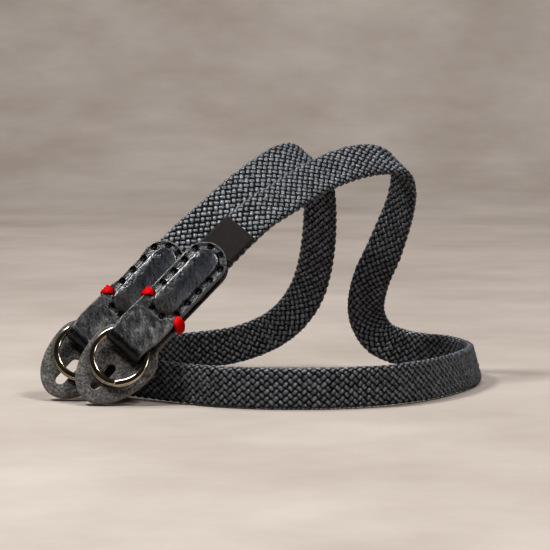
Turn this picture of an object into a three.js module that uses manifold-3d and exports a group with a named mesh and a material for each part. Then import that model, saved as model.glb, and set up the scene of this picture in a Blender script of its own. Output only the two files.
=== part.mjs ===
// Flat braided rope strap with leather ends, split rings and ring guards.
// Millimetres, +Z up. The origin is the point that the strap hangs over, and the ground is below it.
import * as THREE from 'three';
import { mergeVertices } from 'three/addons/utils/BufferGeometryUtils.js';
import Module from 'manifold-3d';

// Driving dimensions
const GROUND = -80;
const GAP = 0.3;
const ROPE = { width: 16, thickness: 3.5, edgeSegments: 3, steps: 150 };
const LEATHER = 1.8;
// How far a cutting solid stands past what it cuts
const MARGIN = 1;
// The ring sits a little to the right in its fold, behind the middle of the leather, and tips forward.
const RING = {
  outerRadius: 11.8, wire: 2.25, height: 2.2, groove: 0.25, chamfer: 0.3, segments: 40,
  aside: 0.3, back: 0.8, tilt: 6,
};

// The leather tab is one strip, folded round the ring and closed over the end of the rope.
// Heights are along the strap from the end's origin, just below the fold.
const TAB = {
  halfWidth: 8.9, foldHalfWidth: 7.9, foldBottom: 2.9, foldTop: 7, shoulder: 14, tip: 58.6,
  ropeStart: 24, loopTop: 20, loopHollow: 3.8, curveSegments: 10,
};
const GUARD = {
  halfWidth: 14.2, widest: 3, toe: 19.8, thickness: 2, flankPull: 9,
  neckHalfWidth: 8.7, neckBase: 14, neckTop: 29, neckCorner: 3, shoulderOut: 1, shoulderDrop: 3.5,
  slotHalfWidth: 2.1, slotTop: -2.3, slotBottom: -14.9, curveSegments: 9,
};
const LABEL = { width: 14, bottom: 58.95, top: 70.2, thickness: 1, steps: 8 };

// Where each end's origin lies and how the end is turned: lean is how far its face tips back,
// turn how far it faces left, slope how steeply it climbs to the right as seen from the front.
// ringRise and guardRise are how far the ring and its guard are pushed up the strap.
const FACING = { lean: 25.5, turn: 4 };
const ENDS = {
  front: { x: -82.7, y: -61.5, height: 18.7, slope: 45.5, ringRise: 1.2, guardRise: 0, ...FACING },
  rear: { x: -98.85, y: -47.15, height: 17.75, slope: 46.3, ringRise: 3.1, guardRise: 2, ...FACING },
};

// Heights on each end where the rope is still straight
const STRAIGHT = [TAB.ropeStart, 44, 56, 60];

// The rope's free stretch, from the front end over the hanging point, round on edge and back to the rear end.
// x, y and height place the middle of the rope; ax, ay and az point across it to its left edge.
const ROUTE = [
  { x: -28.7, y: -36.7, height: 72.2, ax: -0.72, ay: 0.35, az: 0.60 },
  { x: -20.6, y: -29.6, height: 77.0, ax: -0.69, ay: 0.37, az: 0.62 },
  { x: -11, y: -19.3, height: 82.5, ax: -0.65, ay: 0.40, az: 0.64 },
  { x: -2, y: -9.8, height: 87.0, ax: -0.57, ay: 0.43, az: 0.70 },
  { x: 7, y: -2, height: 90.2, ax: -0.50, ay: 0.44, az: 0.75 },
  { x: 15, y: 4, height: 91.7, ax: -0.46, ay: 0.47, az: 0.75 },
  { x: 22.5, y: 9.5, height: 91.5, ax: -0.48, ay: 0.55, az: 0.68 },
  { x: 28.6, y: 14.8, height: 88.6, ax: -0.54, ay: 0.64, az: 0.55 },
  { x: 30.8, y: 19.5, height: 82.6, ax: -0.56, ay: 0.71, az: 0.42 },
  { x: 30.2, y: 25, height: 73.5, ax: -0.64, ay: 0.73, az: 0.25 },
  { x: 24.5, y: 34, height: 55, ax: -0.85, ay: 0.50, az: 0.10 },
  { x: 18, y: 43.5, height: 38, ax: -0.93, ay: 0.30, az: -0.15 },
  { x: 17, y: 52, height: 24, ax: -0.80, ay: 0.15, az: -0.55 },
  { x: 23, y: 57.5, height: 13.5, ax: -0.45, ay: 0.10, az: -0.88 },
  { x: 35, y: 57, height: 9, ax: -0.12, ay: 0.06, az: -0.99 },
  { x: 52, y: 43.5, height: 8.4, ax: 0.12, ay: 0.12, az: -0.98 },
  { x: 59.5, y: 22, height: 8.2, ax: 0.26, ay: 0.05, az: -0.96 },
  { x: 57.8, y: 0, height: 8.2, ax: 0.22, ay: -0.06, az: -0.97 },
  { x: 49.5, y: -24, height: 8.2, ax: 0.14, ay: -0.07, az: -0.98 },
  { x: 37, y: -47, height: 8.2, ax: 0.05, ay: -0.04, az: -1 },
  { x: 21, y: -64, height: 8.2, ax: 0, ay: 0, az: -1 },
  { x: 0, y: -73, height: 8.2, ax: 0, ay: 0, az: -1 },
  { x: -22, y: -74, height: 8.2, ax: 0, ay: 0, az: -1 },
  { x: -43, y: -68, height: 8.2, ax: 0, ay: 0.05, az: -1 },
  { x: -65, y: -52.5, height: 8.4, ax: 0.06, ay: 0.12, az: -0.99 },
  { x: -79.5, y: -40.5, height: 8.9, ax: 0.08, ay: 0.10, az: -0.99 },
  { x: -90, y: -20, height: 9.3, ax: 0.05, ay: 0, az: -1 },
  { x: -92.5, y: 8, height: 8.8, ax: 0, ay: 0, az: -1 },
  { x: -81, y: 38, height: 8.4, ax: 0, ay: 0, az: -1 },
  { x: -58, y: 56, height: 8.4, ax: 0, ay: 0, az: -1 },
  { x: -37, y: 60, height: 11, ax: 0.10, ay: 0.03, az: -1 },
  { x: -20, y: 58, height: 19, ax: 0.38, ay: 0.03, az: -0.92 },
  { x: -9.5, y: 51, height: 32, ax: 0.62, ay: -0.05, az: -0.78 },
  { x: -4.5, y: 40, height: 50, ax: 0.79, ay: -0.22, az: -0.57 },
  { x: -3.5, y: 24, height: 76, ax: 0.80, ay: -0.48, az: -0.33 },
  { x: -5.5, y: 15.5, height: 87.5, ax: 0.74, ay: -0.55, az: -0.37 },
  { x: -10, y: 7.5, height: 92.6, ax: 0.62, ay: -0.50, az: -0.60 },
  { x: -16.5, y: -0.5, height: 92.3, ax: 0.56, ay: -0.45, az: -0.69 },
  { x: -25, y: -9, height: 87.8, ax: 0.62, ay: -0.42, az: -0.66 },
  { x: -34.5, y: -17.3, height: 81, ax: 0.69, ay: -0.37, az: -0.62 },
  { x: -46.5, y: -25, height: 70.6, ax: 0.74, ay: -0.33, az: -0.58 },
];

const wasm = await Module();
wasm.setup();

const finish = {
  rope: new THREE.MeshStandardMaterial({ color: 0x2b2d31, roughness: 0.85, metalness: 0 }),
  label: new THREE.MeshStandardMaterial({ color: 0x38353a, roughness: 0.9, metalness: 0 }),
  leather: new THREE.MeshStandardMaterial({ color: 0x3a3b3d, roughness: 0.6, metalness: 0 }),
  suede: new THREE.MeshStandardMaterial({ color: 0x4b4c4f, roughness: 0.95, metalness: 0 }),
  steel: new THREE.MeshStandardMaterial({ color: 0xb9bbbe, roughness: 0.25, metalness: 1 }),
};

function toSolid(geometry) {
  const bare = geometry.clone();
  bare.deleteAttribute('normal');
  bare.deleteAttribute('uv');
  const merged = mergeVertices(bare, 1e-4);
  return new wasm.Manifold(new wasm.Mesh({
    numProp: 3,
    vertProperties: new Float32Array(merged.attributes.position.array),
    triVerts: new Uint32Array(merged.index.array),
  }));
}

function toGeometry(solid) {
  const mesh = solid.getMesh();
  const geometry = new THREE.BufferGeometry();
  geometry.setAttribute('position', new THREE.BufferAttribute(new Float32Array(mesh.vertProperties), 3));
  geometry.setIndex(new THREE.BufferAttribute(new Uint32Array(mesh.triVerts), 1));
  geometry.computeVertexNormals();
  return geometry;
}

function named(name, geometry, material) {
  const mesh = new THREE.Mesh(geometry, material);
  mesh.name = name;
  return mesh;
}

// An end's own frame: x to its right edge, y up along the strap, z out of its face.
function endMatrix({ x, y, height, lean, turn, slope }) {
  const [tip, yaw, climb] = [lean, turn, slope].map(THREE.MathUtils.degToRad);
  const face = new THREE.Vector3(
    -Math.sin(yaw) * Math.cos(tip), -Math.cos(yaw) * Math.cos(tip), Math.sin(tip));
  const depth = -(face.x * Math.cos(climb) + face.z * Math.sin(climb)) / face.y;
  const along = new THREE.Vector3(Math.cos(climb), depth, Math.sin(climb)).normalize();
  const right = new THREE.Vector3().crossVectors(along, face);
  return new THREE.Matrix4().makeBasis(right, along, face).setPosition(x, y, GROUND + height);
}

// A curve that carries the direction across the strap, so that a flat section keeps its roll.
class StrapCurve extends THREE.CatmullRomCurve3 {
  constructor(points, across) {
    super(points, false, 'centripetal');
    this.across = new THREE.CatmullRomCurve3(across, false, 'catmullrom', 0.5);
  }

  computeFrenetFrames(steps) {
    const frames = { tangents: [], normals: [], binormals: [] };
    for (let i = 0; i <= steps; i += 1) {
      const tangent = this.getTangentAt(i / steps);
      const across = this.across.getPoint(this.getUtoTmapping(i / steps));
      const face = new THREE.Vector3().crossVectors(tangent, across).normalize();
      frames.tangents.push(tangent);
      frames.normals.push(new THREE.Vector3().crossVectors(face, tangent));
      frames.binormals.push(face);
    }
    return frames;
  }

  // The part of the curve between two lengths along it.
  stretch(from, to, steps) {
    const points = [];
    const across = [];
    for (let i = 0; i <= steps; i += 1) {
      const u = THREE.MathUtils.lerp(from, to, i / steps) / this.getLength();
      points.push(this.getPointAt(u));
      across.push(this.across.getPoint(this.getUtoTmapping(u)));
    }
    return new StrapCurve(points, across);
  }
}

// The rope's middle line, straight inside each tab.
function ropeCurve() {
  const points = [];
  const across = [];
  const addStraight = (end, leftward, heights) => {
    const place = endMatrix(end);
    const side = new THREE.Vector3().setFromMatrixColumn(place, 0).multiplyScalar(leftward);
    for (const height of heights) {
      points.push(new THREE.Vector3(0, height, 0).applyMatrix4(place));
      across.push(side.clone());
    }
  };
  addStraight(ENDS.front, -1, STRAIGHT);
  for (const { x, y, height, ax, ay, az } of ROUTE) {
    points.push(new THREE.Vector3(x, y, GROUND + height));
    across.push(new THREE.Vector3(ax, ay, az).normalize());
  }
  addStraight(ENDS.rear, 1, STRAIGHT.toReversed());
  return new StrapCurve(points, across);
}

// The rope: a flat section with round edges along the whole route.
function ropeGeometry(curve) {
  const radius = ROPE.thickness / 2;
  const flat = ROPE.width / 2 - radius;
  const section = new THREE.Shape();
  section.moveTo(-flat, -radius);
  section.lineTo(flat, -radius);
  section.absarc(flat, 0, radius, -Math.PI / 2, Math.PI / 2, false);
  section.absarc(-flat, 0, radius, Math.PI / 2, Math.PI * 1.5, false);
  return new THREE.ExtrudeGeometry(section, {
    steps: ROPE.steps, curveSegments: ROPE.edgeSegments, extrudePath: curve,
  });
}

// The label: a bare woven patch that follows the rope's outer face above the front tab.
function labelGeometry(curve) {
  const base = ROPE.thickness / 2 + GAP;
  const section = new THREE.Shape();
  section.moveTo(-LABEL.width / 2, base);
  section.lineTo(LABEL.width / 2, base);
  section.lineTo(LABEL.width / 2, base + LABEL.thickness);
  section.lineTo(-LABEL.width / 2, base + LABEL.thickness);
  return new THREE.ExtrudeGeometry(section, {
    steps: LABEL.steps,
    extrudePath: curve.stretch(LABEL.bottom - TAB.ropeStart, LABEL.top - TAB.ropeStart, LABEL.steps),
  });
}

// The tab's side view: a hairpin, narrow round the ring and wider over the rope.
function tabProfile() {
  const inner = { loop: TAB.loopHollow / 2, rope: ROPE.thickness / 2 + GAP };
  const outer = { loop: inner.loop + LEATHER, rope: inner.rope + LEATHER };
  const bend = TAB.foldBottom + outer.loop;
  const profile = new THREE.Shape();
  profile.moveTo(TAB.tip, inner.rope);
  profile.lineTo(TAB.tip, outer.rope);
  profile.lineTo(TAB.ropeStart, outer.rope);
  profile.lineTo(TAB.loopTop, outer.loop);
  profile.lineTo(bend, outer.loop);
  profile.absarc(bend, 0, outer.loop, Math.PI / 2, Math.PI * 1.5, false);
  profile.lineTo(TAB.loopTop, -outer.loop);
  profile.lineTo(TAB.ropeStart, -outer.rope);
  profile.lineTo(TAB.tip, -outer.rope);
  profile.lineTo(TAB.tip, -inner.rope);
  profile.lineTo(TAB.ropeStart, -inner.rope);
  profile.lineTo(TAB.loopTop, -inner.loop);
  profile.lineTo(bend, -inner.loop);
  profile.absarc(bend, 0, inner.loop, Math.PI * 1.5, Math.PI / 2, true);
  profile.lineTo(TAB.loopTop, inner.loop);
  profile.lineTo(TAB.ropeStart, inner.rope);
  return profile;
}

// The tab's front view: a tongue with a round tip, drawn in a little at the ring.
function tabOutline() {
  const tipCentre = TAB.tip - TAB.halfWidth;
  const outline = new THREE.Shape();
  outline.moveTo(-TAB.foldHalfWidth, TAB.foldBottom - MARGIN);
  outline.lineTo(TAB.foldHalfWidth, TAB.foldBottom - MARGIN);
  outline.lineTo(TAB.foldHalfWidth, TAB.foldTop);
  outline.bezierCurveTo(TAB.foldHalfWidth, (TAB.foldTop + TAB.shoulder) / 2,
    TAB.halfWidth, (TAB.foldTop + TAB.shoulder) / 2, TAB.halfWidth, TAB.shoulder);
  outline.absarc(0, tipCentre, TAB.halfWidth, 0, Math.PI, false);
  outline.lineTo(-TAB.halfWidth, TAB.shoulder);
  outline.bezierCurveTo(-TAB.halfWidth, (TAB.foldTop + TAB.shoulder) / 2,
    -TAB.foldHalfWidth, (TAB.foldTop + TAB.shoulder) / 2, -TAB.foldHalfWidth, TAB.foldTop);
  return outline;
}

function tabGeometry() {
  const width = 2 * (TAB.halfWidth + MARGIN);
  const depth = ROPE.thickness + 2 * (GAP + LEATHER + MARGIN);
  const options = { bevelEnabled: false, curveSegments: TAB.curveSegments };
  const hairpin = new THREE.ExtrudeGeometry(tabProfile(), { ...options, depth: width });
  hairpin.translate(0, 0, -width / 2);
  hairpin.applyMatrix4(new THREE.Matrix4().makeBasis(
    new THREE.Vector3(0, 1, 0), new THREE.Vector3(0, 0, 1), new THREE.Vector3(1, 0, 0)));
  const tongue = new THREE.ExtrudeGeometry(tabOutline(), { ...options, depth });
  tongue.translate(0, 0, -depth / 2);
  return toGeometry(toSolid(hairpin).intersect(toSolid(tongue)));
}

// A split ring: two flat turns of wire, with the line between them as a shallow groove.
function ringGeometry() {
  const { outerRadius, wire, height, groove, chamfer, segments } = RING;
  const innerRadius = outerRadius - wire;
  const half = height / 2;
  const corners = [
    [innerRadius, -half + chamfer], [innerRadius + chamfer, -half],
    [outerRadius - chamfer, -half], [outerRadius, -half + chamfer],
    [outerRadius, -groove], [outerRadius - groove, 0], [outerRadius, groove],
    [outerRadius, half - chamfer], [outerRadius - chamfer, half],
    [innerRadius + chamfer, half], [innerRadius, half - chamfer],
    [innerRadius, -half + chamfer],
  ];
  const ring = new THREE.LatheGeometry(corners.map(([r, h]) => new THREE.Vector2(r, h)), segments);
  return ring.rotateX(Math.PI / 2);
}

// A ring guard: a leather egg behind the ring, slotted for a lug, whose neck runs up behind the tab.
function guardGeometry() {
  const { halfWidth, widest, toe, flankPull, neckHalfWidth, neckBase, neckTop, neckCorner } = GUARD;
  const shoulder = { x: neckHalfWidth + GUARD.shoulderOut, y: neckBase - GUARD.shoulderDrop };
  const outline = new THREE.Shape();
  outline.absellipse(0, widest, halfWidth, toe + widest, Math.PI, 2 * Math.PI, false);
  outline.bezierCurveTo(halfWidth, flankPull, shoulder.x, shoulder.y, neckHalfWidth, neckBase);
  outline.absarc(neckHalfWidth - neckCorner, neckTop - neckCorner, neckCorner, 0, Math.PI / 2, false);
  outline.absarc(neckCorner - neckHalfWidth, neckTop - neckCorner, neckCorner, Math.PI / 2, Math.PI, false);
  outline.lineTo(-neckHalfWidth, neckBase);
  outline.bezierCurveTo(-shoulder.x, shoulder.y, -halfWidth, flankPull, -halfWidth, widest);

  const { slotHalfWidth, slotTop, slotBottom } = GUARD;
  const slot = new THREE.Path();
  slot.absarc(0, slotTop - slotHalfWidth, slotHalfWidth, 0, Math.PI, false);
  slot.absarc(0, slotBottom + slotHalfWidth, slotHalfWidth, Math.PI, 2 * Math.PI, false);
  outline.holes.push(slot);

  const guard = new THREE.ExtrudeGeometry(outline, {
    depth: GUARD.thickness, bevelEnabled: false, curveSegments: GUARD.curveSegments,
  });
  const back = ROPE.thickness / 2 + GAP + LEATHER + GAP + GUARD.thickness;
  return guard.translate(0, 0, -back);
}

// One leather end: the tab, the ring tipped a little forward in the tab's fold, and the guard behind both.
function leatherEnd(name, end) {
  const tab = named(`${name}_tab`, tabGeometry(), finish.leather);
  const ring = named(`${name}_ring`, ringGeometry(), finish.steel);
  const guard = named(`${name}_guard`, guardGeometry(), finish.suede);
  ring.rotation.x = THREE.MathUtils.degToRad(RING.tilt);
  ring.position.set(RING.aside, end.ringRise, -RING.back);
  guard.position.y = end.guardRise;
  const group = new THREE.Group();
  group.applyMatrix4(endMatrix(end));
  group.add(tab, ring, guard);
  return group;
}

const strap = new THREE.Group();
const curve = ropeCurve();
strap.add(named('rope', ropeGeometry(curve), finish.rope));
strap.add(named('label', labelGeometry(curve), finish.label));
for (const [name, end] of Object.entries(ENDS)) {
  strap.add(leatherEnd(name, end));
}

export default strap;
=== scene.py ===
# %% [markdown]
# # A flat rope strap with leather ends
#
# The strap is one length of flat braided rope. Each end of the rope is sewn into a leather strip that
# is folded round a split ring, and a slotted leather guard hangs behind each ring. This lesson loads the
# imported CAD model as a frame, replaces its plain solids one by one, and then lights them for the camera.
# All sizes are in metres; MM lets them be written in the millimetres that a strap maker would use.

# %% Load the frame
import math

import bpy
import numpy as np
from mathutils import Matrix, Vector, noise


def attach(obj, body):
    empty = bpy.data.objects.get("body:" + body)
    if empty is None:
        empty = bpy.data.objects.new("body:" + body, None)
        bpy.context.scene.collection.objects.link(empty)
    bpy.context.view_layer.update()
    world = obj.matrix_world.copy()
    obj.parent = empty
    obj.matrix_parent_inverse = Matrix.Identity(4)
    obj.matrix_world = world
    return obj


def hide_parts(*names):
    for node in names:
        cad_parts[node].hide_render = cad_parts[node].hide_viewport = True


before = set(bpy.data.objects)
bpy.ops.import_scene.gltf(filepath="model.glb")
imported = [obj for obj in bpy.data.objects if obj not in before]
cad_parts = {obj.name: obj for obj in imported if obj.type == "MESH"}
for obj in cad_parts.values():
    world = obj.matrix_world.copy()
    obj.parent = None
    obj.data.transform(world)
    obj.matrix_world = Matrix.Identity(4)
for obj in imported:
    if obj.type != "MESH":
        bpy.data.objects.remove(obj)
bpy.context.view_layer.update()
MM = 0.001
FLOOR = -80 * MM
scene = bpy.context.scene
print("nodes in the frame:", len(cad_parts))

# %% [markdown]
# ## The camera
#
# A camera could be set by eye, but a viewing angle worked out from the picture keeps every later piece
# honest. It stands a little over a metre in front, about four centimetres above the strap's top, looks
# slightly down, and has a long lens, so that lines stay nearly parallel. The shift and the depth of field
# stay off.

# %% Place the camera
VIEW_FROM = (-22 * MM, -1118 * MM, 57 * MM)
LOOK_DOWN = math.radians(4.69)
SENSOR = 36.0
LENS = 181.0

bpy.ops.object.select_all(action="DESELECT")
bpy.ops.object.camera_add(location=VIEW_FROM, rotation=(math.pi / 2 - LOOK_DOWN, 0, 0))
camera = bpy.context.object
camera.data.sensor_width = SENSOR
camera.data.lens = LENS
scene.camera = camera
print("camera field of view, degrees:", round(math.degrees(camera.data.angle), 2))

# %% [markdown]
# ## A frame for each leather end
#
# Both ends lean the same way, so their pieces are easiest to shape lying flat: x to the right across the
# leather, y along it from the middle of the ring hole to the rope, z out of its face. Three directions and
# one point then carry the finished points to where the end leans. The point is near the ring's middle.

# %% Directions of the two ends
LEAN, TURN = math.radians(25.5), math.radians(4)
ENDS = {
    "front": dict(foot=(-82.7, -61.5, 18.7), slope=45.5, ring_rise=1.2, guard_rise=0.0),
    "rear": dict(foot=(-98.85, -47.15, 17.75), slope=46.3, ring_rise=3.1, guard_rise=2.0),
}
FACE = np.array((-math.sin(TURN) * math.cos(LEAN), -math.cos(TURN) * math.cos(LEAN), math.sin(LEAN)))

for end in ENDS.values():
    slope = math.radians(end["slope"])
    along = np.array((math.cos(slope), 0, math.sin(slope)))
    along[1] = -(FACE[0] * along[0] + FACE[2] * along[2]) / FACE[1]
    along /= np.linalg.norm(along)
    end["axes"] = np.array((np.cross(along, FACE), along, FACE))
    end["origin"] = np.array(end["foot"]) * MM + (0, 0, FLOOR)


def in_row(end, points):
    """Carries points from an end's own flat frame to the shared frame."""
    return ENDS[end]["origin"] + np.asarray(points) @ ENDS[end]["axes"]


print("ends:", {name: np.round(end["origin"], 4).tolist() for name, end in ENDS.items()})

# %% [markdown]
# ## The rope's route
#
# A rope lies where gravity and its own stiffness leave it. It could be simulated, but this lay is one
# particular drape, so its points are listed one by one: up from the front end, over the top, down behind,
# once round on the floor standing on its edge, and back over the top to the rear end. Each row also says
# which way the rope's width points. A curve that spaces its knots by the root of their distance doesn't
# overshoot where points are close together.

# %% Route points and the curve through them
# Columns: x, y, height above the floor, and the direction across the rope.
ROUTE = np.array((
    (-0.0287, -0.0367, 0.0722, -0.72, 0.35, 0.60),
    (-0.0206, -0.0296, 0.0770, -0.69, 0.37, 0.62),
    (-0.0110, -0.0193, 0.0825, -0.65, 0.40, 0.64),
    (-0.0020, -0.0098, 0.0870, -0.57, 0.43, 0.70),
    (0.0070, -0.0020, 0.0902, -0.50, 0.44, 0.75),
    (0.0150, 0.0040, 0.0917, -0.46, 0.47, 0.75),
    (0.0225, 0.0095, 0.0915, -0.48, 0.55, 0.68),
    (0.0286, 0.0148, 0.0886, -0.54, 0.64, 0.55),
    (0.0308, 0.0195, 0.0826, -0.56, 0.71, 0.42),
    (0.0302, 0.0250, 0.0735, -0.64, 0.73, 0.25),
    (0.0245, 0.0340, 0.0550, -0.85, 0.50, 0.10),
    (0.0180, 0.0435, 0.0380, -0.93, 0.30, -0.15),
    (0.0170, 0.0520, 0.0240, -0.80, 0.15, -0.55),
    (0.0230, 0.0575, 0.0135, -0.45, 0.10, -0.88),
    (0.0350, 0.0570, 0.0090, -0.12, 0.06, -0.99),
    (0.0520, 0.0435, 0.0084, 0.12, 0.12, -0.98),
    (0.0595, 0.0220, 0.0082, 0.26, 0.05, -0.96),
    (0.0578, 0.0000, 0.0082, 0.22, -0.06, -0.97),
    (0.0495, -0.0240, 0.0082, 0.14, -0.07, -0.98),
    (0.0370, -0.0470, 0.0082, 0.05, -0.04, -1.00),
    (0.0210, -0.0640, 0.0082, 0.00, 0.00, -1.00),
    (0.0000, -0.0730, 0.0082, 0.00, 0.00, -1.00),
    (-0.0220, -0.0740, 0.0082, 0.00, 0.00, -1.00),
    (-0.0430, -0.0680, 0.0082, 0.00, 0.05, -1.00),
    (-0.0650, -0.0525, 0.0084, 0.06, 0.12, -0.99),
    (-0.0795, -0.0405, 0.0089, 0.08, 0.10, -0.99),
    (-0.0900, -0.0200, 0.0093, 0.05, 0.00, -1.00),
    (-0.0925, 0.0080, 0.0088, 0.00, 0.00, -1.00),
    (-0.0810, 0.0380, 0.0084, 0.00, 0.00, -1.00),
    (-0.0580, 0.0560, 0.0084, 0.00, 0.00, -1.00),
    (-0.0370, 0.0600, 0.0110, 0.10, 0.03, -1.00),
    (-0.0200, 0.0580, 0.0190, 0.38, 0.03, -0.92),
    (-0.0095, 0.0510, 0.0320, 0.62, -0.05, -0.78),
    (-0.0045, 0.0400, 0.0500, 0.79, -0.22, -0.57),
    (-0.0035, 0.0240, 0.0760, 0.80, -0.48, -0.33),
    (-0.0055, 0.0155, 0.0875, 0.74, -0.55, -0.37),
    (-0.0100, 0.0075, 0.0926, 0.62, -0.50, -0.60),
    (-0.0165, -0.0005, 0.0923, 0.56, -0.45, -0.69),
    (-0.0250, -0.0090, 0.0878, 0.62, -0.42, -0.66),
    (-0.0345, -0.0173, 0.0810, 0.69, -0.37, -0.62),
    (-0.0465, -0.0250, 0.0706, 0.74, -0.33, -0.58),
))
ROPE_IN_LEATHER = np.array((24, 44, 56, 60)) * MM
ROPE_STEPS = 420
SPAN_STEPS = 24


def smooth_curve(points, power):
    """A Catmull-Rom curve; power 0.5 spaces its knots by the root of their distance, 0 evenly."""
    ends = np.vstack((2 * points[0] - points[1], points, 2 * points[-1] - points[-2]))
    t = np.linspace(0, 1, SPAN_STEPS, endpoint=False)[:, None]
    spans = []
    for p0, p1, p2, p3 in zip(ends, ends[1:], ends[2:], ends[3:]):
        d0, d1, d2 = (np.linalg.norm(b - a) ** power for a, b in ((p0, p1), (p1, p2), (p2, p3)))
        leave = ((p1 - p0) / d0 - (p2 - p0) / (d0 + d1) + (p2 - p1) / d1) * d1
        arrive = ((p2 - p1) / d1 - (p3 - p1) / (d1 + d2) + (p3 - p2) / d2) * d1
        bend = 3 * (p2 - p1) - 2 * leave - arrive
        spans.append(p1 + leave * t + bend * t**2 + (2 * (p1 - p2) + leave + arrive) * t**3)
    return np.vstack((*spans, points[-1:]))


def unit(vectors):
    return vectors / np.linalg.norm(vectors, axis=-1, keepdims=True)


def end_line(end, heights):
    return in_row(end, [(0, height, 0) for height in heights])


front_right, rear_right = (ENDS[name]["axes"][0] for name in ("front", "rear"))
knots = np.vstack((
    end_line("front", ROPE_IN_LEATHER),
    ROUTE[:, :3] + (0, 0, FLOOR),
    end_line("rear", ROPE_IN_LEATHER[::-1]),
))
widths = np.vstack((
    np.tile(-front_right, (len(ROPE_IN_LEATHER), 1)),
    unit(ROUTE[:, 3:]),
    np.tile(rear_right, (len(ROPE_IN_LEATHER), 1)),
))
fine_line = smooth_curve(knots, 0.5)
fine_width = smooth_curve(widths, 0.0)
fine_length = np.concatenate(((0,), np.cumsum(np.linalg.norm(np.diff(fine_line, axis=0), axis=1))))
ROPE_LENGTH = float(fine_length[-1])
rope_at = np.linspace(0, ROPE_LENGTH, ROPE_STEPS + 1)


def along_rope(values, at, known=fine_length):
    """Reads a column of vectors at lengths along the rope."""
    return np.stack([np.interp(at, known, values[:, axis]) for axis in range(3)], axis=-1)


rope_line = along_rope(fine_line, rope_at)
rope_ahead = unit(np.gradient(rope_line, axis=0))
rope_face = unit(np.cross(rope_ahead, along_rope(fine_width, rope_at)))
rope_left = np.cross(rope_face, rope_ahead)
print("rope length, metres:", round(ROPE_LENGTH, 4))

# %% [markdown]
# ## The rope's core
#
# Under the braid a flat rope is a soft dark core with rounded edges. It could be a curve with a bevel
# profile, but the braid has to be laid on the same surface, so one function gives that surface: how far
# along the rope, how far round it, and how high above it. The core is that surface a little below the braid.

# %% Surface of the rope and the core
ROPE_WIDTH, ROPE_THICKNESS = 16 * MM, 3.5 * MM
ROUND = ROPE_THICKNESS / 2
FLAT = ROPE_WIDTH - ROPE_THICKNESS
GIRTH = 2 * FLAT + 2 * math.pi * ROUND
CORE_SINK = 0.6 * MM
CORE_SIDES = 28


def on_rope(at, round_rope, high):
    """Points at a length along the rope, a distance round it from the face's left edge, and a height."""
    turn = np.mod(round_rope, GIRTH)
    arc = math.pi * ROUND
    first = np.clip((turn - FLAT) / ROUND, 0, math.pi)
    second = np.clip((turn - 2 * FLAT - arc) / ROUND, 0, math.pi)
    angle = math.pi / 2 + first + second
    middle = FLAT / 2 - np.clip(turn, 0, FLAT) + np.clip(turn - FLAT - arc, 0, FLAT)
    aside = middle + (ROUND + high) * np.cos(angle)
    proud = (ROUND + high) * np.sin(angle)
    line, left, face = (along_rope(values, at, rope_at) for values in (rope_line, rope_left, rope_face))
    return line + left * aside[..., None] + face * proud[..., None]


def mesh_piece(name, points, faces):
    """A new object whose points are already in the shared frame."""
    mesh = bpy.data.meshes.new(name)
    mesh.from_pydata(np.asarray(points).tolist(), [], faces)
    piece = bpy.data.objects.new(name, mesh)
    bpy.context.collection.objects.link(piece)
    return piece


def pick(piece):
    """Leaves only this piece selected and active, as a click in the viewport does."""
    bpy.ops.object.select_all(action="DESELECT")
    piece.select_set(True)
    bpy.context.view_layer.objects.active = piece


def triangles(piece):
    return sum(len(face.vertices) - 2 for face in piece.data.polygons)


core_turn = np.arange(CORE_SIDES) * GIRTH / CORE_SIDES
core_rings = on_rope(*np.broadcast_arrays(rope_at[:, None], core_turn, -CORE_SINK))
step, side = np.meshgrid(np.arange(ROPE_STEPS), np.arange(CORE_SIDES), indexing="ij")
beside = (side + 1) % CORE_SIDES
quads = np.stack((
    step * CORE_SIDES + side,
    step * CORE_SIDES + beside,
    (step + 1) * CORE_SIDES + beside,
    (step + 1) * CORE_SIDES + side,
), axis=-1).reshape(-1, 4).tolist()
first_end = list(range(CORE_SIDES))[::-1]
last_end = [ROPE_STEPS * CORE_SIDES + side for side in range(CORE_SIDES)]
rope_core = mesh_piece("rope_core", core_rings.reshape(-1, 3), quads + [first_end, last_end])
pick(rope_core)
bpy.ops.object.mode_set(mode="EDIT")
bpy.ops.mesh.select_all(action="SELECT")
bpy.ops.mesh.normals_make_consistent(inside=False)
bpy.ops.object.mode_set(mode="OBJECT")
bpy.ops.object.shade_smooth()
print("rope core:", triangles(rope_core), "triangles")

# %% [markdown]
# ## The braid
#
# Two sets of yarns wind round the rope in opposite ways, and each shows as a short slanting float where
# it passes over the other. A bump map would leave the rope's edge smooth, so every float is real. One float
# is modelled as a small pillow with three plies, and its copies are laid out on the rope's surface: a row of
# cells along the rope and thirteen round it, with the second set half a cell away from the first both ways.

# %% One float of yarn
FLOAT_LENGTH, FLOAT_WIDTH = 3.45 * MM, 1.95 * MM
FLOAT_CROWN, FLOAT_ROOT = 0.2 * MM, -0.75 * MM
PLIES, PLY_DIP = 3, 0.3
END_TAPER, END_CROWD, SIDE_ROUND = 0.35, 0.75, 0.6

bpy.ops.object.select_all(action="DESELECT")
bpy.ops.mesh.primitive_grid_add(x_subdivisions=3, y_subdivisions=2 * PLIES, size=2)
yarn_float = bpy.context.object
bpy.ops.object.mode_set(mode="EDIT")
bpy.ops.mesh.select_mode(type="EDGE")
bpy.ops.mesh.select_all(action="SELECT")
bpy.ops.mesh.region_to_loop()
bpy.ops.mesh.edge_face_add()
bpy.ops.object.mode_set(mode="OBJECT")
float_grid = np.array([vertex.co[:2] for vertex in yarn_float.data.vertices])
float_faces = [list(face.vertices) for face in yarn_float.data.polygons]
float_faces[-1] = float_faces[-1][::-1] if yarn_float.data.polygons[-1].normal.z > 0 else float_faces[-1]
bpy.data.objects.remove(yarn_float)

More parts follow.
